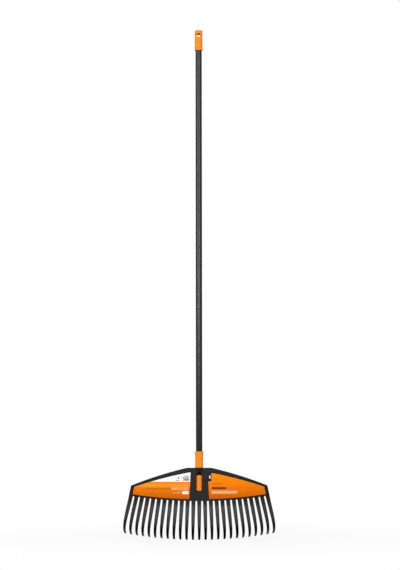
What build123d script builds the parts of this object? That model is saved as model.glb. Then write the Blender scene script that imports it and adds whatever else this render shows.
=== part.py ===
from build123d import *

import os
from math import atan, cos, degrees, radians, sin, sqrt

# Leaf rake, in mm. +Z runs up along the handle, the lowest tine tips are at z = 0, the
# rake is symmetric about x = 0 but for its labels, and the front of the head faces -Y.

# Handle
overall_length = 1770.0
shaft_diameter = 22.0
shaft_wall = 1.2
push_clearance = 0.05

# Rounding of the step under a lip, on the cap and on the collar
lip_rounding = 0.6

# Cap on the upper end, with the hole that the rake hangs by
cap_length = 70.0
cap_diameter = 27.0
cap_lip_diameter = 28.5
cap_lip_height = 5.0
cap_rounding = 2.0
hang_hole_diameter = 12.5
hang_hole_drop = 18.0
hang_hole_floor = 7.0
hang_hole_chamfer = 0.8

# Adapter between the shaft and the head
collar_length = 56.0
collar_diameter = 27.0
collar_lip_diameter = 29.0
collar_lip_height = 13.0
collar_floor = 4.0
collar_rounding = 1.2
spigot_length = 44.0
spigot_wall = 2.6
plug_diameter = 21.8
plug_length = 78.5
plug_chamfer = 1.0
tongue_length = 53.0
neck_length = 13.0
neck_depth = 13.0
core_diameter = 14.0
core_length = 40.0

# Head: a dished plate, thick along its bars and thin behind the two labels
head_height = 116.0
top_flat_half = 42.0
top_corner_radius = 60.0
crown_radius = 1330.0
shoulder_half = 235.0
shoulder_height = 54.5
shoulder_radius = 6.0
lower_edge_radius = 1640.0
dish_radius = 950.0
panel_depth = 8.0
face_offset = 11.0
outline_rounding = 1.2
label_pocket_depth = 1.2
web_thickness = 2.6
column_half_top = 29.0
column_half_bottom = 33.5
top_bar = 14.6
side_bar = 11.0
lower_side_bar = 13.0
bottom_bar = 8.2
pocket_shoulder_drop = 4.0
pocket_radius = 2.0
rib_thickness = 2.2
rib_spacing = 2

# Socket in the head for the adapter's plug, open to the front as a window
socket_clearance = 0.1
socket_wall = 3.0
socket_floor = 8.0
window_clearance = 1.5
window_lip = 0.3
boss_length = 27.0
boss_top_radius = 16.0
boss_lower_radius = 11.2
arch_width = 19.0
arch_height = 11.0
gusset_thickness = 3.0
gusset_reach = 30.0
gusset_heights = (45.0, 72.0, 99.0)

# Labels and the notch in the right one, over a slot in the web
label_thickness = 0.8
label_clearance = 0.4
notch_width = 13.0
notch_height = 32.0
web_slot_width = 4.0
web_slot_height = 11.0
web_slot_x = 36.5
web_slot_drop = 32.0

# Tines
tine_count = 25
tine_pitch = 19.9
tine_length = 132.4
fan_height = 1090.0
tine_root_width = 14.2
tine_knee_width = 10.8
tine_tip_width = 6.8
tine_root_thickness = 5.0
tine_knee_thickness = 4.2
tine_tip_slimming = 2.0
tine_bulge = 6.5
lean_share = 0.3
hook_radius = 53.0
hook_angle = 75.0

# Heights that follow
root_z = tine_length
head_top = root_z + head_height
collar_top = head_top + collar_length
plug_bottom = head_top - plug_length
tongue_top = plug_bottom + tongue_length
window_bottom = plug_bottom - window_clearance
shaft_bottom = head_top + collar_floor
hang_hole_z = overall_length - hang_hole_drop
shaft_top = hang_hole_z - hang_hole_diameter / 2 - hang_hole_floor
shoulder_z = root_z + shoulder_height
lower_edge_centre = root_z + lower_edge_radius

# Depth: the box around the rake is centred on y = 0, so the handle stands ahead of it
last_step = (tine_count - 1) / 2
last_dish = last_step * tine_pitch / dish_radius
last_root_reach = dish_radius * (1 - cos(last_dish))
fan_reach = tine_length * dish_radius / fan_height * sin(last_dish) ** 2
hook_depth = hook_radius * (1 - cos(radians(hook_angle)))
tip_reach = (hook_depth - tine_bulge + tine_knee_thickness) * cos(last_dish)
axis_y = face_offset + (tine_bulge - last_root_reach - fan_reach - tip_reach) / 2
face_y = axis_y - face_offset
dish_centre = face_y + dish_radius
mid_panel = panel_depth / 2 - face_offset

# Planes, spans and a margin wide enough to cut right through the head or its face
ahead_of_head = Plane.XZ.offset(100.0)
through_head = -300.0
below_head = 60.0
cut_margin = 1.0

shaft_radius = shaft_diameter / 2
socket_radius = plug_diameter / 2 + socket_clearance


# Height of the circle that the head's lower edge follows, or of one inside it
def lower_edge_z(x, inset=0.0):
    return lower_edge_centre - sqrt((lower_edge_radius - inset) ** 2 - x**2)


# Horizontal plane whose origin is on the handle's axis
def handle_plane(z):
    return Plane((0, axis_y, z))


# Plane at the root of a tine, counted in steps from the centre: X across the tine,
# Y towards the back, Z up along the tine, which leans with the dish and the fan
def root_plane(steps):
    dish = steps * tine_pitch / dish_radius
    x = dish_radius * sin(dish)
    y = dish_centre - dish_radius * cos(dish)
    fan = atan(x / fan_height)
    across = Vector(cos(dish), sin(dish), 0)
    x_dir = across * cos(fan) + Vector(0, 0, sin(fan))
    z_dir = Vector(0, 0, cos(fan)) - across * sin(fan)
    return Plane(origin=(x, y, lower_edge_z(x)), x_dir=x_dir, z_dir=z_dir)


# Plate that follows the dished face, with an outline drawn in front view
def dished_plate(outline, inset, thickness):
    with BuildPart() as plate:
        with BuildSketch(Plane.XY.offset(below_head)):
            with Locations((0, dish_centre)):
                Circle(dish_radius - inset)
                Circle(dish_radius - inset - thickness, mode=Mode.SUBTRACT)
        extrude(amount=head_top)
        with BuildSketch(ahead_of_head):
            add(outline)
        extrude(amount=through_head, mode=Mode.INTERSECT)
    return plate.part


os.makedirs("parts", exist_ok=True)

# Shaft: a plain tube
with BuildPart() as shaft_tube:
    with BuildSketch(handle_plane(shaft_bottom)):
        Circle(shaft_radius)
        Circle(shaft_radius - shaft_wall, mode=Mode.SUBTRACT)
    extrude(amount=shaft_top - shaft_bottom)

shaft_tube.part.label = "shaft_tube"
export_step(shaft_tube.part, "parts/shaft_tube.step")

# Cap: pushed over the shaft, with a lip at its mouth and the hole across its solid top
with BuildPart() as grip_cap:
    with BuildSketch(handle_plane(overall_length - cap_length)):
        Circle(cap_diameter / 2)
    extrude(amount=cap_length)
    with BuildSketch(handle_plane(overall_length - cap_length)):
        Circle(cap_lip_diameter / 2)
    extrude(amount=cap_lip_height)
    lip_step = grip_cap.edges().filter_by(GeomType.CIRCLE).group_by(Axis.Z)[1]
    fillet(lip_step.sort_by(SortBy.RADIUS)[-1], lip_rounding)
    fillet(grip_cap.edges().group_by(Axis.Z)[-1], cap_rounding)
    with BuildSketch(handle_plane(overall_length - cap_length)):
        Circle(shaft_radius + push_clearance)
    extrude(amount=shaft_top - overall_length + cap_length, mode=Mode.SUBTRACT)
    with BuildSketch(Plane((0, axis_y, hang_hole_z), x_dir=(1, 0, 0), z_dir=(0, -1, 0))):
        Circle(hang_hole_diameter / 2)
    extrude(amount=cap_diameter, both=True, mode=Mode.SUBTRACT)
    hole_wall = grip_cap.faces().filter_by(GeomType.CYLINDER).group_by(SortBy.RADIUS)[0]
    chamfer(hole_wall.edges().filter_by(GeomType.LINE, reverse=True), hang_hole_chamfer)

grip_cap.part.label = "grip_cap"
export_step(grip_cap.part, "parts/grip_cap.step")

# Adapter: a collar round the shaft's lower end, a spigot inside it, and below them a
# plug whose tongue fills the head's window and locks under the socket's front wall
with BuildPart() as collar_adapter:
    with BuildSketch(handle_plane(head_top)):
        Circle(collar_diameter / 2)
    extrude(amount=collar_length)
    with BuildSketch(handle_plane(collar_top - collar_lip_height)):
        Circle(collar_lip_diameter / 2)
    extrude(amount=collar_lip_height)
    rims = collar_adapter.edges().filter_by(GeomType.CIRCLE).group_by(Axis.Z)
    fillet(rims[1].sort_by(SortBy.RADIUS)[-1], lip_rounding)
    fillet(collar_adapter.edges().group_by(Axis.Z)[0], collar_rounding)
    fillet(collar_adapter.edges().group_by(Axis.Z)[-1], collar_rounding)
    with BuildSketch(handle_plane(shaft_bottom)):
        Circle(shaft_radius + push_clearance)
        Circle(shaft_radius - shaft_wall - push_clearance, mode=Mode.SUBTRACT)
    extrude(amount=spigot_length, mode=Mode.SUBTRACT)
    with BuildSketch(handle_plane(shaft_bottom + spigot_length)):
        Circle(shaft_radius + push_clearance)
    extrude(amount=collar_top - shaft_bottom - spigot_length, mode=Mode.SUBTRACT)
    with BuildSketch(handle_plane(plug_bottom)):
        Circle(plug_diameter / 2)
    extrude(amount=plug_length)
    chamfer(collar_adapter.edges().group_by(Axis.Z)[0], plug_chamfer)
    with BuildSketch(handle_plane(plug_bottom)):
        Circle(core_diameter / 2)
    extrude(amount=core_length, mode=Mode.SUBTRACT)
    with BuildSketch(handle_plane(shaft_bottom)):
        Circle(shaft_radius - shaft_wall - push_clearance - spigot_wall)
    extrude(amount=spigot_length, mode=Mode.SUBTRACT)
    with BuildSketch(handle_plane(tongue_top)):
        with Locations((0, neck_depth / 2 - plug_diameter / 2)):
            Rectangle(plug_diameter * 2, neck_depth)
    extrude(amount=neck_length, mode=Mode.SUBTRACT)

collar_adapter.part.label = "collar_adapter"
export_step(collar_adapter.part, "parts/collar_adapter.step")

# Front-view outlines, drawn for the right half and mirrored
outer_corner_x = root_plane(last_step).from_local_coords((tine_root_width / 2, 0, 0)).X
with BuildSketch() as head_outline:
    with BuildLine():
        top = Line((0, head_top), (top_flat_half, head_top))
        crown = RadiusArc(top @ 1, (shoulder_half, shoulder_z), crown_radius)
        side = Line(crown @ 1, (outer_corner_x, lower_edge_z(outer_corner_x)))
        RadiusArc(side @ 1, (0, root_z), lower_edge_radius)
        Line((0, root_z), (0, head_top))
    make_face()
    corners = head_outline.vertices()
    fillet(corners.sort_by_distance((top_flat_half, head_top))[0], top_corner_radius)
    fillet(corners.sort_by_distance((shoulder_half, shoulder_z))[0], shoulder_radius)
    mirror(about=Plane.YZ)

with BuildSketch() as pocket_outline:
    pocket_side_x = outer_corner_x - lower_side_bar
    pocket_side = (pocket_side_x, lower_edge_z(pocket_side_x, bottom_bar))
    pocket_foot = (column_half_bottom, lower_edge_z(column_half_bottom, bottom_bar))
    pocket_shoulder = (shoulder_half - side_bar, shoulder_z - pocket_shoulder_drop)
    with BuildLine():
        column = Line(pocket_foot, (column_half_top, head_top - top_bar))
        RadiusArc(column @ 1, pocket_shoulder, crown_radius)
        Line(pocket_shoulder, pocket_side)
        RadiusArc(pocket_side, pocket_foot, lower_edge_radius - bottom_bar)
    make_face()
    fillet(pocket_outline.vertices(), pocket_radius)

with BuildSketch() as pocket_pair:
    add(pocket_outline.sketch)
    mirror(about=Plane.YZ)

# Recesses behind the labels, crossed by upright ribs that carry on the line of a tine
with BuildSketch() as recess_pair:
    add(pocket_outline.sketch)
    for steps in range(rib_spacing, int(last_step), rib_spacing):
        rib_foot = root_plane(steps).origin
        lean = degrees(atan(rib_foot.X / fan_height))
        with Locations(Location((rib_foot.X, rib_foot.Z, 0), (0, 0, lean))):
            Rectangle(rib_thickness, 2 * head_height, mode=Mode.SUBTRACT)
    mirror(about=Plane.YZ)

# Head: bars, web, socket and window, with a round-topped slot between each two tines
recess_inset = label_pocket_depth + web_thickness
slot_radius = (tine_pitch - tine_root_width) / 2
with BuildPart() as head_panel:
    add(dished_plate(head_outline.sketch, 0, panel_depth))
    rims = head_panel.edges().filter_by(GeomType.LINE, reverse=True)
    rims = rims.filter_by_position(Axis.Z, shoulder_z - shoulder_height / 2, head_top)
    fillet(rims, outline_rounding)
    pockets = dished_plate(pocket_pair.sketch, -cut_margin, label_pocket_depth + cut_margin)
    add(pockets, mode=Mode.SUBTRACT)
    add(dished_plate(recess_pair.sketch, recess_inset, panel_depth), mode=Mode.SUBTRACT)

    # Socket tube, which starts inside the column and is round at the back
    with BuildSketch(handle_plane(window_bottom - socket_floor)):
        Circle(socket_radius + socket_wall)
        with Locations((0, mid_panel - 2 * socket_radius)):
            Rectangle(4 * socket_radius, 4 * socket_radius, mode=Mode.SUBTRACT)
    extrude(amount=head_top - window_bottom + socket_floor)

    # Gussets from the socket to the back of the column
    for height in gusset_heights:
        with BuildSketch(handle_plane(root_z + height)):
            Polygon(
                (0, socket_radius),
                (gusset_reach, mid_panel),
                (-gusset_reach, mid_panel),
                align=None,
            )
        extrude(amount=gusset_thickness)

    # Front boss: the front of a cone, which sinks into the face towards the window
    for height, radius in ((head_top - boss_length, boss_lower_radius), (head_top, boss_top_radius)):
        with BuildSketch(handle_plane(height)):
            Circle(radius)
            with Locations((0, mid_panel + 2 * boss_top_radius)):
                Rectangle(4 * boss_top_radius, 4 * boss_top_radius, mode=Mode.SUBTRACT)
    loft()

    # Bore for the plug
    with BuildSketch(handle_plane(window_bottom)):
        Circle(socket_radius)
    extrude(amount=head_top, mode=Mode.SUBTRACT)

    # Window: a rectangle nearly as wide as the tongue, with an arch over it
    with BuildSketch(Plane.XZ.offset(-axis_y)):
        with Locations((0, (window_bottom + tongue_top) / 2)):
            Rectangle(plug_diameter - 2 * window_lip, tongue_top - window_bottom)
        with Locations((0, tongue_top)):
            Ellipse(arch_width / 2, arch_height)
    extrude(amount=2 * boss_top_radius, mode=Mode.SUBTRACT)

    # Slot through the web beside the column
    with BuildSketch(ahead_of_head):
        with Locations((web_slot_x, head_top - web_slot_drop)):
            SlotOverall(web_slot_height, web_slot_width, rotation=90)
    extrude(amount=through_head, mode=Mode.SUBTRACT)

    # Round tops of the gaps between the tines
    gap_planes = []
    for gap in range(tine_count - 1):
        root = root_plane(gap + 0.5 - last_step)
        gap_planes.append(Plane(root.origin, x_dir=root.x_dir, z_dir=root.y_dir))
    with BuildSketch(*gap_planes):
        Circle(slot_radius)
    extrude(amount=2 * panel_depth, both=True, mode=Mode.SUBTRACT)

head_panel.part.label = "head_panel"
export_step(head_panel.part, "parts/head_panel.step")

# Labels: thin cards in the two pockets, the right one with its notch
label_inset = label_pocket_depth - label_thickness
with BuildSketch() as left_outline:
    add(pocket_outline.sketch)
    offset(amount=-label_clearance, mode=Mode.REPLACE)
    mirror(about=Plane.YZ, mode=Mode.REPLACE)

with BuildSketch() as right_outline:
    add(pocket_outline.sketch)
    offset(amount=-label_clearance, mode=Mode.REPLACE)
    with Locations((column_half_top, head_top - top_bar)):
        Rectangle(2 * notch_width, 2 * notch_height, mode=Mode.SUBTRACT)

with BuildPart() as label_left:
    add(dished_plate(left_outline.sketch, label_inset, label_thickness))

label_left.part.label = "label_left"
export_step(label_left.part, "parts/label_left.step")

with BuildPart() as label_right:
    add(dished_plate(right_outline.sketch, label_inset, label_thickness))

label_right.part.label = "label_right"
export_step(label_right.part, "parts/label_right.step")

# Tine, drawn upright at the origin: it leaves the head, swells a little forward down
# to the knee, and hooks back from there
hook_drop = hook_radius * sin(radians(hook_angle))
shank_length = tine_length - hook_drop


# Two arcs that carry one face of the shank forward and back to upright at the knee
def shank_face(y, forward):
    lean = 2 * atan(forward / shank_length)
    total_radius = shank_length / sin(lean)
    upper = JernArc((y, 0), (0, -1), lean_share * total_radius, -degrees(lean))
    return JernArc(upper @ 1, upper % 1, (1 - lean_share) * total_radius, degrees(lean))


with BuildPart() as tine_blank:
    with BuildSketch(Plane.YZ) as tine_profile:
        with BuildLine():
            Line((0, panel_depth), (0, 0))
            front = shank_face(0, tine_bulge)
            front_hook = JernArc(front @ 1, (0, -1), hook_radius, hook_angle)
            thinning = tine_root_thickness - tine_knee_thickness
            back = shank_face(tine_root_thickness, tine_bulge + thinning)
            back_radius = hook_radius - tine_knee_thickness + tine_tip_slimming
            back_hook = JernArc(back @ 1, (0, -1), back_radius, hook_angle)
            Line(front_hook @ 1, back_hook @ 1)
            Line((tine_root_thickness, 0), (tine_root_thickness, panel_depth))
            Line((tine_root_thickness, panel_depth), (0, panel_depth))
        make_face()
    extrude(amount=tine_root_width, both=True)
    with BuildSketch(Plane.XZ):
        root_half = tine_root_width / 2
        tip_half = tine_tip_width / 2
        with BuildLine():
            Line((-root_half, panel_depth), (root_half, panel_depth))
            Line((root_half, panel_depth), (root_half, 0))
            taper = ThreePointArc(
                (root_half, 0),
                (tine_knee_width / 2, -shank_length),
                (tip_half, tip_half - tine_length),
            )
            ThreePointArc(taper @ 1, (0, -tine_length), (-tip_half, tip_half - tine_length))
            ThreePointArc(
                (-tip_half, tip_half - tine_length),
                (-tine_knee_width / 2, -shank_length),
                (-root_half, 0),
            )
            Line((-root_half, 0), (-root_half, panel_depth))
        make_face()
    extrude(amount=hook_radius, both=True, mode=Mode.INTERSECT)

# The tines, numbered from the left, each cut to the lower edge that it grows from
for number in range(tine_count):
    root = root_plane(number - last_step)
    with BuildPart() as tine:
        add(tine_blank.part.moved(root.location))
        with BuildSketch(ahead_of_head):
            with Locations((0, lower_edge_centre)):
                Circle(lower_edge_radius)
        extrude(amount=through_head, mode=Mode.SUBTRACT)
    tine.part.label = f"tine_{number + 1:02d}"
    export_step(tine.part, f"parts/{tine.part.label}.step")
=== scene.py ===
import math

import bpy
import numpy as np
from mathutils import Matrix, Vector


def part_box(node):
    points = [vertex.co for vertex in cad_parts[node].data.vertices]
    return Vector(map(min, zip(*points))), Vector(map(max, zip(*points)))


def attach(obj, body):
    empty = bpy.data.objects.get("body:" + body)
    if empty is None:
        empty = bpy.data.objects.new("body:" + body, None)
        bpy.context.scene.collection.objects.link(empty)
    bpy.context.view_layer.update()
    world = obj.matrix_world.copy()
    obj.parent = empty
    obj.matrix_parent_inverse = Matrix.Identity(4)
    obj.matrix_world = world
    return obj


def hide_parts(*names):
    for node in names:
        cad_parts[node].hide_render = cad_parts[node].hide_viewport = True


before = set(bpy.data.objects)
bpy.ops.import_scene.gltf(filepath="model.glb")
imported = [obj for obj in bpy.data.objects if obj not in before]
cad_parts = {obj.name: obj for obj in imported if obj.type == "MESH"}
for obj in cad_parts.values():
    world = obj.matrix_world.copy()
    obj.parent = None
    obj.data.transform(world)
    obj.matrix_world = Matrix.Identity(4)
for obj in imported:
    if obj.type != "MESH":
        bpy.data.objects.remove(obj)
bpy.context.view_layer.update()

print("leaf rake: frame loaded,", len(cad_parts), "nodes")

# Everything is in metres. The handle stands upright, its axis a little ahead of x = y = 0.
tubeLow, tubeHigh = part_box("shaft_tube")
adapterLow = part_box("collar_adapter")[0]
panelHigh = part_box("head_panel")[1]
axisY = (tubeLow.y + tubeHigh.y) / 2


viewpoint = {
    "distance": 6.0,         # from the handle's axis
    "height": 0.45,          # the eye is a little above the head, and looks slightly up
    "side": 0.0031,
    "pitch": 4.08,           # degrees
    "roll": 0.08,            # degrees
    "lens": 109.7,           # mm
    "sensor": 36.0,          # mm
}


def makeCamera():
    data = bpy.data.cameras.new("frontCamera")
    data.lens = viewpoint["lens"]
    data.sensor_width = viewpoint["sensor"]
    camera = bpy.data.objects.new("frontCamera", data)
    camera.location = (viewpoint["side"], axisY - viewpoint["distance"], viewpoint["height"])
    camera.rotation_euler = (math.radians(90 + viewpoint["pitch"]), math.radians(viewpoint["roll"]), 0)
    bpy.context.scene.collection.objects.link(camera)
    bpy.context.scene.camera = camera
    bpy.context.scene.view_settings.view_transform = "Standard"


makeCamera()
print("leaf rake: camera placed")


def hexColour(text):      # sRGB hex to linear
    values = [int(text[i:i + 2], 16) / 255 for i in (1, 3, 5)]
    linear = [v / 12.92 if v <= 0.04045 else ((v + 0.055) / 1.055) ** 2.4 for v in values]
    return (*linear, 1.0)


def addNode(tree, kind, links=None, stops=None, **settings):
    # links go from a socket's name or number to another socket or to a plain value;
    # stops are the places and colours of a colour ramp
    node = tree.nodes.new(kind)
    for name, value in settings.items():
        setattr(node, name, value)
    for socket, value in (links or {}).items():
        if isinstance(value, bpy.types.NodeSocket):
            tree.links.new(value, node.inputs[socket])
        else:
            node.inputs[socket].default_value = value
    if stops:
        elements = node.color_ramp.elements
        while len(elements) < len(stops):
            elements.new(1.0)
        for element, (position, colour) in zip(elements, stops):
            element.position = position
            element.color = hexColour(colour)
    return node


noiseSpan = {"From Min": 0.3, "From Max": 0.7}      # nearly all of a noise pattern lies in here


def newFinish(name, looks):      # a material with its plain values on its shader's own sockets
    material = bpy.data.materials.new(name)
    material.use_nodes = True
    tree = material.node_tree
    tree.nodes.clear()
    shader = addNode(tree, "ShaderNodeBsdfPrincipled", {
        "Roughness": sum(looks["roughness"]) / 2,
        "IOR": looks["ior"],
        "Specular IOR Level": looks["specular"],
    })
    addNode(tree, "ShaderNodeOutputMaterial", {"Surface": shader.outputs["BSDF"]})
    place = addNode(tree, "ShaderNodeTexCoord").outputs["Object"]
    return material, tree, shader, place


def tint(tree, colour, factor, low, high):      # a colour times a grey that follows a noise, low to high
    grey = addNode(tree, "ShaderNodeMapRange", {"Value": factor, "To Min": low, "To Max": high, **noiseSpan})
    product = addNode(tree, "ShaderNodeMix", {0: 1.0, 6: colour, 7: grey.outputs["Result"]},
                      data_type="RGBA", blend_type="MULTIPLY")
    return product.outputs[2]


def roughen(tree, shader, factor, looks):      # roughness runs between its two values with a noise
    low, high = looks["roughness"]
    rough = addNode(tree, "ShaderNodeMapRange", {"Value": factor, "To Min": low, "To Max": high, **noiseSpan})
    tree.links.new(rough.outputs["Result"], shader.inputs["Roughness"])


def window(tree, value, low, high, soft):      # 1 between low and high, falling to 0 over soft at each side
    rise = addNode(tree, "ShaderNodeMapRange", {"Value": value, "From Min": low - soft, "From Max": low},
                   interpolation_type="SMOOTHSTEP")
    fall = addNode(tree, "ShaderNodeMapRange", {"Value": value, "From Min": high + soft, "From Max": high},
                   interpolation_type="SMOOTHSTEP")
    return addNode(tree, "ShaderNodeMath", {0: rise.outputs["Result"], 1: fall.outputs["Result"]},
                   operation="MINIMUM").outputs["Value"]


def relief(tree, shader, height, depth, edge=0.0):      # bumps of a depth, on edges rounded to a radius
    links = {"Height": height, "Distance": depth}
    if edge:
        links["Normal"] = addNode(tree, "ShaderNodeBevel", {"Radius": edge}, samples=6).outputs["Normal"]
    bump = addNode(tree, "ShaderNodeBump", links)
    tree.links.new(bump.outputs["Normal"], shader.inputs["Normal"])


tubeCoat = {
    "colour": "#0a0a0b",
    "roughness": (0.26, 0.34),
    "ior": 1.45,
    "specular": 0.7,
    "peelSize": 0.0028,      # orange peel of a baked powder coat, real pitch 1 to 2 mm
    "peelDepth": 0.00002,
    "speckSize": 0.0009,
    "speckGrey": (0.86, 1.16),
}


# Powder-coated aluminium, satin black: long soft reflections broken up by a faint orange peel
def makeTubeCoat():
    looks = tubeCoat
    material, tree, shader, place = newFinish("satinPowderCoat", looks)
    peel = addNode(tree, "ShaderNodeTexNoise", {"Vector": place, "Scale": 1 / looks["peelSize"]})
    speck = addNode(tree, "ShaderNodeTexNoise", {"Vector": place, "Scale": 1 / looks["speckSize"]})
    shade = tint(tree, hexColour(looks["colour"]), speck.outputs["Fac"], *looks["speckGrey"])
    tree.links.new(shade, shader.inputs["Base Color"])
    roughen(tree, shader, peel.outputs["Fac"], looks)
    relief(tree, shader, peel.outputs["Fac"], looks["peelDepth"])
    return material


orangeMoulding = {
    "colour": "#fb8c14",
    "roughness": (0.36, 0.46),
    "ior": 1.5,
    "specular": 0.2,
    "cloudSize": 0.03,
    "cloudDetail": 4.0,
    "cloudGrey": (0.94, 1.05),
    "grainSize": 0.0012,     # spark-eroded mould grain, real 0.15 mm, drawn coarser to show
    "grainGrey": (0.97, 1.03),
    "grainDepth": 0.00003,
    "edge": 0.0007,
    "paintEdge": 0.0003,
    "neckFrom": 0.0531,      # above the adapter's foot the catch's neck is painted black, a painted shade for its deep hollow
    "neckShort": 0.0005,     # and ends this far below the head's top
    "neckColour": "#0d0805",
    "holeCentre": (0.0, 0.0, 1.752),
    "holeReach": 0.0065,     # from the hang hole's axis; its wall is painted as dark as the shade inside it
    "holeColour": "#4a2006",
}


# Injection-moulded ABS in signal orange: satin, with a fine grain and slightly cloudy colour, and painted
# shade on the catch's neck or on the hang hole's wall
def makeOrangeMoulding(name, darkPlace):
    looks = orangeMoulding
    material, tree, shader, place = newFinish(name, looks)
    cloud = addNode(tree, "ShaderNodeTexNoise", {"Vector": place, "Scale": 1 / looks["cloudSize"],
                                                 "Detail": looks["cloudDetail"]}).outputs["Fac"]
    fine = addNode(tree, "ShaderNodeTexNoise", {"Vector": place,
                                                "Scale": 1 / looks["grainSize"]}).outputs["Fac"]
    shade = tint(tree, hexColour(looks["colour"]), cloud, *looks["cloudGrey"])
    shade = tint(tree, shade, fine, *looks["grainGrey"])
    # painted shade: the catch's neck, or the hang hole's wall, is mixed to a dark colour
    if darkPlace == "neck":
        high = addNode(tree, "ShaderNodeSeparateXYZ", {"Vector": place}).outputs["Z"]
        dark = window(tree, high, adapterLow.z + looks["neckFrom"], panelHigh.z - looks["neckShort"],
                      looks["paintEdge"])
    else:
        flat = addNode(tree, "ShaderNodeVectorMath", {0: place, 1: (1, 0, 1)},
                       operation="MULTIPLY").outputs[0]
        away = addNode(tree, "ShaderNodeVectorMath", {0: flat, 1: looks["holeCentre"]}, operation="DISTANCE")
        dark = window(tree, away.outputs["Value"], 0, looks["holeReach"], looks["paintEdge"])
    shade = addNode(tree, "ShaderNodeMix", {0: dark, 6: shade, 7: hexColour(looks[f"{darkPlace}Colour"])},
                    data_type="RGBA").outputs[2]
    tree.links.new(shade, shader.inputs["Base Color"])
    roughen(tree, shader, cloud, looks)
    relief(tree, shader, fine, looks["grainDepth"], looks["edge"])
    return material


blackMoulding = {
    "tineTop": 0.1324,       # height that the tines' colours are spread over, as shares
    "alongTine": [           # painted near black on the hooks as their shade, painted paler on the shanks as their light, dark again on the head
        (0.0, "#010101"), (0.27, "#010101"), (0.33, "#0f0f0f"), (0.42, "#303031"),
        (0.6, "#39393a"), (0.86, "#39393a"), (0.93, "#212122"), (1.0, "#1a1a1b"),
    ],
    "outerShadeFrom": 0.14,        # out from the middle the tines are painted darker, a painted shade where they turn from the light
    "outerShadeTo": 0.25,
    "outerShade": 0.55,
    "roughness": (0.4, 0.52),
    "ior": 1.49,
    "specular": 0.3,
    "flowSize": 0.035,
    "flowGrey": (0.9, 1.1),
    "grainSize": 0.0015,     # leather-like mould grain, real 0.3 mm, drawn coarser to show
    "grainGrey": (0.88, 1.12),
    "grainDepth": 0.00005,
    "detail": 3.0,
    "edge": 0.0008,
}


# Injection-moulded polypropylene, black: a dull sheen over a fine grain, with painted light on the shanks and
# painted shade on the hooks and the outer tines
def makeBlackMoulding():
    looks = blackMoulding
    material, tree, shader, place = newFinish("blackMouldedPlastic", looks)
    flow = addNode(tree, "ShaderNodeTexNoise", {"Vector": place, "Scale": 1 / looks["flowSize"],
                                                "Detail": looks["detail"]}).outputs["Fac"]
    fine = addNode(tree, "ShaderNodeTexNoise", {"Vector": place, "Scale": 1 / looks["grainSize"],
                                                "Detail": looks["detail"]}).outputs["Fac"]
    parts = addNode(tree, "ShaderNodeSeparateXYZ", {"Vector": place})
    # painted light and shade along each tine, set by height
    share = addNode(tree, "ShaderNodeMapRange", {"Value": parts.outputs["Z"], "From Max": looks["tineTop"]})
    shade = addNode(tree, "ShaderNodeValToRGB", {"Fac": share.outputs["Result"]}, looks["alongTine"])
    # painted shade, darkening the outer tines
    out = addNode(tree, "ShaderNodeMath", {0: parts.outputs["X"]}, operation="ABSOLUTE")
    outerDarkening = addNode(tree, "ShaderNodeMapRange", {
        "Value": out.outputs[0], "From Min": looks["outerShadeFrom"], "From Max": looks["outerShadeTo"],
        "To Min": 1.0, "To Max": looks["outerShade"],
    })
    shade = addNode(tree, "ShaderNodeVectorMath", {0: shade.outputs["Color"], 1: outerDarkening.outputs["Result"]},
                    operation="MULTIPLY").outputs[0]
    shade = tint(tree, shade, flow, *looks["flowGrey"])
    shade = tint(tree, shade, fine, *looks["grainGrey"])
    tree.links.new(shade, shader.inputs["Base Color"])
    roughen(tree, shader, fine, looks)
    relief(tree, shader, fine, looks["grainDepth"], looks["edge"])
    return material


labelPrint = {
    "fade": [                # orange from the foot to the top of a label, as shares of its height
        (0.0, "#a85612"), (0.06, "#cf6104"), (0.3, "#e67204"), (0.6, "#f88302"), (1.0, "#ff8d04"),
    ],
    "roughness": (0.34, 0.34),       # even all over
    "ior": 1.46,
    "specular": 0.08,
    "paleBand": (0.186, 0.1915),     # lighter stripe across the left label, heights in metres
    "paleEdge": 0.007,
    "paleColour": "#f49729",
    "whiteFrom": 0.2008,     # the left label is white above this
    "whiteEdge": 0.0004,
    "whiteColour": "#f7f6f4",
    "barPitch": 0.0016,
    "barGap": 0.35,          # share of a bar's pitch that stays bare
    "markEdge": 0.0003,
    "marks": {               # plain blocks and rules: x from and to, height from and to, ink, cut into bars
        "label_left": [
            (-0.0550, -0.0355, 0.2040, 0.2130, "#070708", True),
            (-0.0583, -0.0355, 0.2150, 0.2170, "#8b8b8d", False),
            (-0.0520, -0.0355, 0.2190, 0.2210, "#7b7b7d", False),
            (-0.0800, -0.0680, 0.2040, 0.2070, "#4b4b4d", True),
            (-0.0725, -0.0685, 0.2112, 0.2165, "#3b3b3d", False),
            (-0.1840, -0.0970, 0.1745, 0.1785, "#b4640f", True),
            (-0.0955, -0.0380, 0.1730, 0.1815, "#eeb37c", True),
            (-0.0583, -0.0370, 0.1585, 0.1692, "#fbe6cd", False),
            (-0.0890, -0.0620, 0.1610, 0.1640, "#f3ae66", True),
        ],
        "label_right": [
            (0.0437, 0.0776, 0.1920, 0.1950, "#8c4c0c", True),
            (0.0437, 0.0735, 0.1855, 0.1872, "#c87420", True),
            (0.0437, 0.0925, 0.1757, 0.1820, "#7a2c0c", False),
            (0.0420, 0.1320, 0.1600, 0.1695, "#f6c795", True),
        ],
    },
    "filmGrain": 0.0011,
    "filmGrey": (0.98, 1.02),
    "filmDepth": 0.000012,
}


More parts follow.
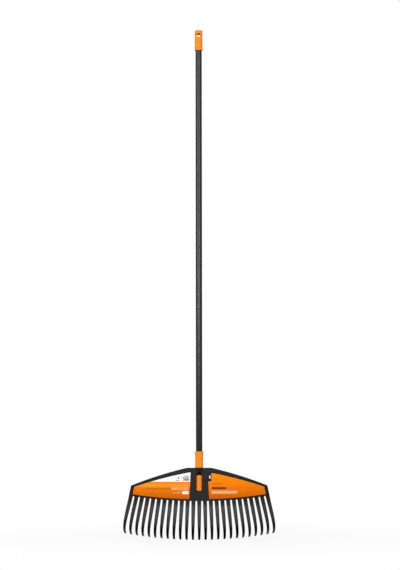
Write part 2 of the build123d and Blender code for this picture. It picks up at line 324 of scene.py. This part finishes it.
# Printed polypropylene film: smooth and a little glossy, its orange darkening to the foot
def makeLabelPrint(name, node, withWhiteField):
    looks = labelPrint
    material, tree, shader, place = newFinish(name, looks)
    low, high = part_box(node)
    parts = addNode(tree, "ShaderNodeSeparateXYZ", {"Vector": place})
    x, z = parts.outputs["X"], parts.outputs["Z"]
    share = addNode(tree, "ShaderNodeMapRange", {"Value": z, "From Min": low.z, "From Max": high.z})
    colour = addNode(tree, "ShaderNodeValToRGB", {"Fac": share.outputs["Result"]},
                     looks["fade"]).outputs["Color"]
    layers = []
    if withWhiteField:
        layers.append((window(tree, z, *looks["paleBand"], looks["paleEdge"]), looks["paleColour"]))
        layers.append((window(tree, z, looks["whiteFrom"], high.z, looks["whiteEdge"]), looks["whiteColour"]))
    comb = addNode(tree, "ShaderNodeMath", {0: x, 1: looks["barPitch"]}, operation="PINGPONG").outputs[0]
    bars = addNode(tree, "ShaderNodeMath", {0: comb, 1: looks["barPitch"] * looks["barGap"]},
                   operation="GREATER_THAN").outputs[0]
    for left, right, foot, top, ink, barred in looks["marks"][node]:
        across = window(tree, x, left, right, looks["markEdge"])
        upright = window(tree, z, foot, top, looks["markEdge"])
        block = addNode(tree, "ShaderNodeMath", {0: across, 1: upright}, operation="MULTIPLY").outputs[0]
        if barred:
            block = addNode(tree, "ShaderNodeMath", {0: block, 1: bars}, operation="MULTIPLY").outputs[0]
        layers.append((block, ink))
    for mask, ink in layers:
        colour = addNode(tree, "ShaderNodeMix", {0: mask, 6: colour, 7: hexColour(ink)},
                         data_type="RGBA").outputs[2]
    fine = addNode(tree, "ShaderNodeTexNoise", {"Vector": place,
                                                "Scale": 1 / looks["filmGrain"]}).outputs["Fac"]
    tree.links.new(tint(tree, colour, fine, *looks["filmGrey"]), shader.inputs["Base Color"])
    relief(tree, shader, fine, looks["filmDepth"])
    return material


def paint(node, material):      # a carried-over piece gets its finish
    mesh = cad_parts[node].data
    mesh.materials.clear()
    mesh.materials.append(material)


blackFinish = makeBlackMoulding()
paint("shaft_tube", makeTubeCoat())
paint("grip_cap", makeOrangeMoulding("orangeMouldedCap", "hole"))
paint("collar_adapter", makeOrangeMoulding("orangeMouldedAdapter", "neck"))
paint("head_panel", blackFinish)
paint("label_left", makeLabelPrint("printedFilmLeft", "label_left", True))
paint("label_right", makeLabelPrint("printedFilmRight", "label_right", False))
print("leaf rake: finishes made")


def putSurface(name, grid, material):
    # A closed skin from rings of points: quads between the rings, fans to a pole at each end,
    # and every face turned over together if the volume inside comes out negative
    rows, columns = grid.shape[:2]
    poles = np.array([grid[0].mean(axis=0), grid[-1].mean(axis=0)])
    points = np.concatenate([grid.reshape(-1, 3), poles])
    index = np.arange(rows * columns).reshape(rows, columns)
    after = np.roll(index, -1, axis=1)
    quads = np.stack([index[:-1], after[:-1], after[1:], index[1:]], axis=-1).reshape(-1, 4)
    first = np.stack([np.full(columns, rows * columns), after[0], index[0]], axis=-1)
    last = np.stack([np.full(columns, rows * columns + 1), index[-1], after[-1]], axis=-1)
    halves = np.concatenate([quads[:, [0, 1, 2]], quads[:, [0, 2, 3]], first, last])
    corners = points[halves]
    volume = np.einsum("ij,ij->i", corners[:, 0], np.cross(corners[:, 1], corners[:, 2])).sum()
    if volume < 0:
        quads, first, last = quads[:, ::-1], first[:, ::-1], last[:, ::-1]
    mesh = bpy.data.meshes.new(name)
    mesh.from_pydata(points.tolist(), [], quads.tolist() + first.tolist() + last.tolist())
    mesh.polygons.foreach_set("use_smooth", np.ones(len(mesh.polygons), bool))
    mesh.materials.append(material)
    piece = bpy.data.objects.new(name, mesh)
    bpy.context.scene.collection.objects.link(piece)
    return piece


tineShape = {
    "count": 25,
    "pitch": 0.0199,         # along the head's lower edge
    "length": 0.1324,
    "fanHeight": 1.09,       # every tine points away from this far above the lower edge
    "faceOffset": 0.011,     # from the handle's axis forward to the head's face
    "dishRadius": 0.95,
    "edgeRadius": 1.64,      # the lower edge of the head in front view
    "halfWidths": (0.0071, 0.0056, 0.0039),     # root, knee, tip
    "thickness": (0.005, 0.0042, 0.0022),
    "bulge": 0.0065,         # how far the shank swells forward
    "leanShare": 0.3,        # of the shank, in the upper of its two arcs
    "hookRadius": 0.053,
    "hookAngle": 75,         # degrees
    "squareness": 4.5,       # 2 is an ellipse, more is squarer
    "tipRounding": 0.0016,
    "rootOverlap": 0.002,    # up inside the head
    "rootSqueeze": 0.9,      # of the root's thickness, where it is hidden in the head
    "closing": 0.02,         # how near to nothing the last ring closes in, before it is squared
    "shankRows": 30,
    "hookRows": 34,
    "columns": 28,
}


def lowerEdge(x):      # height of the circle that the tines grow from
    centre = tineShape["length"] + tineShape["edgeRadius"]
    return centre - np.sqrt(tineShape["edgeRadius"] ** 2 - x ** 2)


def shankFace(depth, start, forward, shank):
    # Two arcs, forward and back to upright, that together move the face ahead by forward
    lean = 2 * math.atan(forward / shank)
    total = shank / math.sin(lean)
    upper = tineShape["leanShare"] * total
    lower = total - upper
    split = tineShape["leanShare"] * shank
    top = start - upper + np.sqrt(upper ** 2 - np.clip(depth, 0, split) ** 2)
    bottom = start - forward + lower - np.sqrt(lower ** 2 - np.clip(shank - depth, 0, shank - split) ** 2)
    return np.where(depth < split, top, bottom)


def tineFaces(shank):
    # The front and the back line of a tine in side view, as (y, z) from the root down: the
    # shank's two arcs, then a circle's arc round the hook, whose rows crowd towards the tip
    shape = tineShape
    thick, kneeThick, slim = shape["thickness"]
    depth = np.concatenate([[-shape["rootOverlap"]], np.linspace(0, shank, shape["shankRows"])])
    level = np.maximum(depth, 0)
    quarter = np.linspace(0, math.pi / 2, shape["hookRows"] + 1)[1:]
    turn = math.radians(shape["hookAngle"]) * np.sin(quarter)
    faces = []
    for start, forward, knee, radius in (
        (0, shape["bulge"], -shape["bulge"], shape["hookRadius"]),
        (thick, shape["bulge"] + thick - kneeThick, kneeThick - shape["bulge"], shape["hookRadius"] - slim),
    ):
        straight = np.stack([shankFace(level, start, forward, shank), -depth], axis=-1)
        hook = np.stack([radius * (1 - np.cos(turn)) + knee, -shank - radius * np.sin(turn)], axis=-1)
        faces.append(np.concatenate([straight, hook]))
    return faces


def tineGrid():
    # Rings of a rounded rectangle carried down between the front and the back line; the half
    # width is a parabola through root, knee and tip, rounded off over the last of the drop, and
    # the end closes in as a quarter of an ellipse. x is across the tine, y back, z up from the root.
    shape = tineShape
    shank = shape["length"] - shape["hookRadius"] * math.sin(math.radians(shape["hookAngle"]))
    front, back = tineFaces(shank)
    middle = (front + back) / 2
    half = (back - front) / 2
    drop = -front[:, 1]
    tipHalf = shape["halfWidths"][2]
    ends = np.array([0, shank, shape["length"] - tipHalf])
    width = np.polyval(np.polyfit(ends, shape["halfWidths"], 2), np.maximum(drop, 0))
    into = np.clip((drop - ends[2]) / tipHalf, 0, 1)
    width = width * np.maximum(1 - into ** 3, shape["closing"]) ** (1 / 3)
    step = np.linalg.norm(np.diff(middle, axis=0), axis=1)
    left = np.concatenate([np.cumsum(step[::-1])[::-1], [0]])
    close = np.clip(1 - left / shape["tipRounding"], 0, 1)
    squeeze = np.sqrt(np.maximum(1 - close ** 2, shape["closing"]))
    squeeze[0] = shape["rootSqueeze"]
    around = np.linspace(0, 2 * math.pi, shape["columns"], endpoint=False)
    power = 2 / shape["squareness"]
    across = np.sign(np.cos(around)) * np.abs(np.cos(around)) ** power
    through = np.sign(np.sin(around)) * np.abs(np.sin(around)) ** power
    x = (width * np.sqrt(squeeze))[:, None] * across
    yz = middle[:, None, :] + (half * squeeze[:, None])[:, None, :] * through[None, :, None]
    return np.concatenate([x[:, :, None], yz], axis=-1)


def placeTine(grid, steps):
    # The grid turned with the dish and leaned with the fan, standing on the lower edge
    shape = tineShape
    dish = steps * shape["pitch"] / shape["dishRadius"]
    x = shape["dishRadius"] * math.sin(dish)
    dishCentre = axisY - shape["faceOffset"] + shape["dishRadius"]
    origin = np.array([x, dishCentre - shape["dishRadius"] * math.cos(dish), float(lowerEdge(x))])
    fan = math.atan(x / shape["fanHeight"])
    level = np.array([math.cos(dish), math.sin(dish), 0])
    up = np.array([0, 0, 1.0])
    across = level * math.cos(fan) + up * math.sin(fan)
    along = up * math.cos(fan) - level * math.sin(fan)
    back = np.cross(along, across)
    return origin + grid @ np.stack([across, back, along])


tineSurface = tineGrid()
for number in range(tineShape["count"]):
    steps = number - (tineShape["count"] - 1) / 2
    name = f"tine_{number + 1:02d}"
    piece = putSurface(f"rake_{name}", placeTine(tineSurface, steps), blackFinish)
    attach(piece, "root")
    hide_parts(name)
print("leaf rake: tines made,", tineShape["count"])


studio = {
    "room": 0.42,            # soft light of the room on matt surfaces
    "softboxes": {           # name: place, target height, width, height, watts
        "leftStrip": ((-1.9, -1.3, 1.65), 1.5, 0.32, 1.6, 15.5),
        "rightStrip": ((0.72, -2.2, 1.65), 1.5, 0.26, 1.6, 13),
        "lowFill": ((-0.2, -2.2, 0.9), 0.1, 0.55, 0.5, 11),
        "overhead": ((0.0, -1.6, 2.9), 0.3, 1.6, 0.8, 9),
        "backFill": ((0.0, 1.8, 3.2), 0.8, 1.8, 1.4, 24),
    },
    "cardColour": "#050505",
    "cards": {               # name: centre, half extent one way, half extent the other way
        "leftCard": ((-2.2, 0.9, 1.2), (0, 1.6, 0), (0, 0, 1.3)),
        "rightCard": ((2.2, 0.9, 1.2), (0, 1.6, 0), (0, 0, 1.3)),
        "backCard": ((0.0, 3.6, 1.2), (2.2, 0, 0), (0, 0, 1.3)),
        "lowCard": ((0.0, -2.7, 0.375), (2.4, 0, 0), (0, 0, 0.525)),
        "floorCard": ((0.0, -1.3, 0.0006), (2.2, 0, 0), (0, 1.3, 0)),
    },
}


def addSoftbox(name, place, targetHeight, width, height, watts):
    light = bpy.data.lights.new(name, "AREA")
    light.shape = "RECTANGLE"
    light.size = width
    light.size_y = height
    light.energy = watts
    lamp = bpy.data.objects.new(name, light)
    lamp.location = place
    aim = Vector((0, axisY, targetHeight)) - Vector(place)
    lamp.rotation_euler = aim.to_track_quat("-Z", "Y").to_euler()
    lamp.visible_camera = False
    bpy.context.scene.collection.objects.link(lamp)


# Black velvet on a card: it gives no light back, and keeps black things dark in white surroundings
def makeVelvet():
    material = bpy.data.materials.new("blackVelvet")
    material.use_nodes = True
    shader = material.node_tree.nodes["Principled BSDF"]
    shader.inputs["Base Color"].default_value = hexColour(studio["cardColour"])
    return material


def addCard(name, material, centre, oneWay, otherWay):
    # A flat rectangle, its centre plus and minus both half extents; only gloss sees it
    signs = np.array([-1.0, 1.0])
    points = np.array(centre) + signs[:, None, None] * np.array(oneWay)
    points = points + signs[None, :, None] * np.array(otherWay)
    mesh = bpy.data.meshes.new(name)
    mesh.from_pydata(points.reshape(-1, 3).tolist(), [], [(0, 2, 3, 1)])
    mesh.materials.append(material)
    card = bpy.data.objects.new(name, mesh)
    card.visible_camera = False
    card.visible_diffuse = False
    card.visible_shadow = False
    card.visible_transmission = False
    bpy.context.scene.collection.objects.link(card)


def seenWhite(tree):      # 1 for what the camera sees, straight on or in gloss and glass
    path = addNode(tree, "ShaderNodeLightPath")
    camera = path.outputs["Is Camera Ray"]
    gloss = path.outputs["Is Glossy Ray"]
    glass = path.outputs["Is Transmission Ray"]
    either = addNode(tree, "ShaderNodeMath", {0: camera, 1: gloss}, operation="MAXIMUM").outputs[0]
    return addNode(tree, "ShaderNodeMath", {0: either, 1: glass}, operation="MAXIMUM").outputs[0]


def makeRoom():
    world = bpy.data.worlds.new("whiteRoom")
    world.use_nodes = True
    tree = world.node_tree
    tree.nodes.clear()
    soft = addNode(tree, "ShaderNodeBackground", {"Color": (1, 1, 1, 1), "Strength": studio["room"]})
    white = addNode(tree, "ShaderNodeBackground", {"Color": (1, 1, 1, 1), "Strength": 1.0})
    mix = addNode(tree, "ShaderNodeMixShader", {0: seenWhite(tree), 1: soft.outputs[0], 2: white.outputs[0]})
    addNode(tree, "ShaderNodeOutputWorld", {"Surface": mix.outputs[0]})
    bpy.context.scene.world = world


paperFloor = {
    "radius": 9.0,
    "rings": 12,
    "sides": 48,
    "innerShare": 0.05,      # the innermost ring is the square of this share of the radius
    "colour": "#f2f2f2",
    "shadowShare": 0.16,     # how much of the floor's white is lit, near the rake
    "shadowFrom": 0.2,
    "shadowReach": 1.2,      # the floor is all its own white from here outwards
}


# Matt paper, pale: it takes a faint shadow near the rake and is plain white further out
def makePaper():
    material = bpy.data.materials.new("paleFloorPaper")
    material.use_nodes = True
    tree = material.node_tree
    tree.nodes.clear()
    lit = addNode(tree, "ShaderNodeBsdfDiffuse", {"Color": hexColour(paperFloor["colour"])})
    white = addNode(tree, "ShaderNodeEmission", {"Strength": 1.0})
    place = addNode(tree, "ShaderNodeTexCoord").outputs["Object"]
    far = addNode(tree, "ShaderNodeVectorMath", {0: place}, operation="LENGTH").outputs["Value"]
    own = addNode(tree, "ShaderNodeMapRange", {
        "Value": far, "From Min": paperFloor["shadowFrom"], "From Max": paperFloor["shadowReach"],
        "To Min": 1 - paperFloor["shadowShare"], "To Max": 1.0,
    }, interpolation_type="SMOOTHSTEP").outputs["Result"]
    share = addNode(tree, "ShaderNodeMath", {0: seenWhite(tree), 1: own}, operation="MULTIPLY")
    mix = addNode(tree, "ShaderNodeMixShader", {0: share.outputs[0], 1: lit.outputs[0], 2: white.outputs[0]})
    addNode(tree, "ShaderNodeOutputMaterial", {"Surface": mix.outputs[0]})
    return material


def makeFloor():
    # A flat disc: rings of points whose radii grow as squares, so that they are closer
    # together under the rake, with one face in the middle
    rings = paperFloor["rings"]
    sides = paperFloor["sides"]
    radii = np.linspace(paperFloor["innerShare"], 1, rings) ** 2 * paperFloor["radius"]
    turn = np.linspace(0, 2 * math.pi, sides, endpoint=False)
    points = np.stack([radii[:, None] * np.cos(turn), radii[:, None] * np.sin(turn),
                       np.zeros((rings, sides))], axis=-1)
    index = np.arange(rings * sides).reshape(rings, sides)
    after = np.roll(index, -1, axis=1)
    quads = np.stack([index[:-1], index[1:], after[1:], after[:-1]], axis=-1).reshape(-1, 4)
    mesh = bpy.data.meshes.new("studioFloor")
    mesh.from_pydata(points.reshape(-1, 3).tolist(), [], quads.tolist() + [index[0].tolist()])
    mesh.materials.append(makePaper())
    floor = bpy.data.objects.new("studioFloor", mesh)
    bpy.context.scene.collection.objects.link(floor)


for name, settings in studio["softboxes"].items():
    addSoftbox(name, *settings)
velvet = makeVelvet()
for name, settings in studio["cards"].items():
    addCard(name, velvet, *settings)
makeRoom()
makeFloor()
print("leaf rake: studio made")
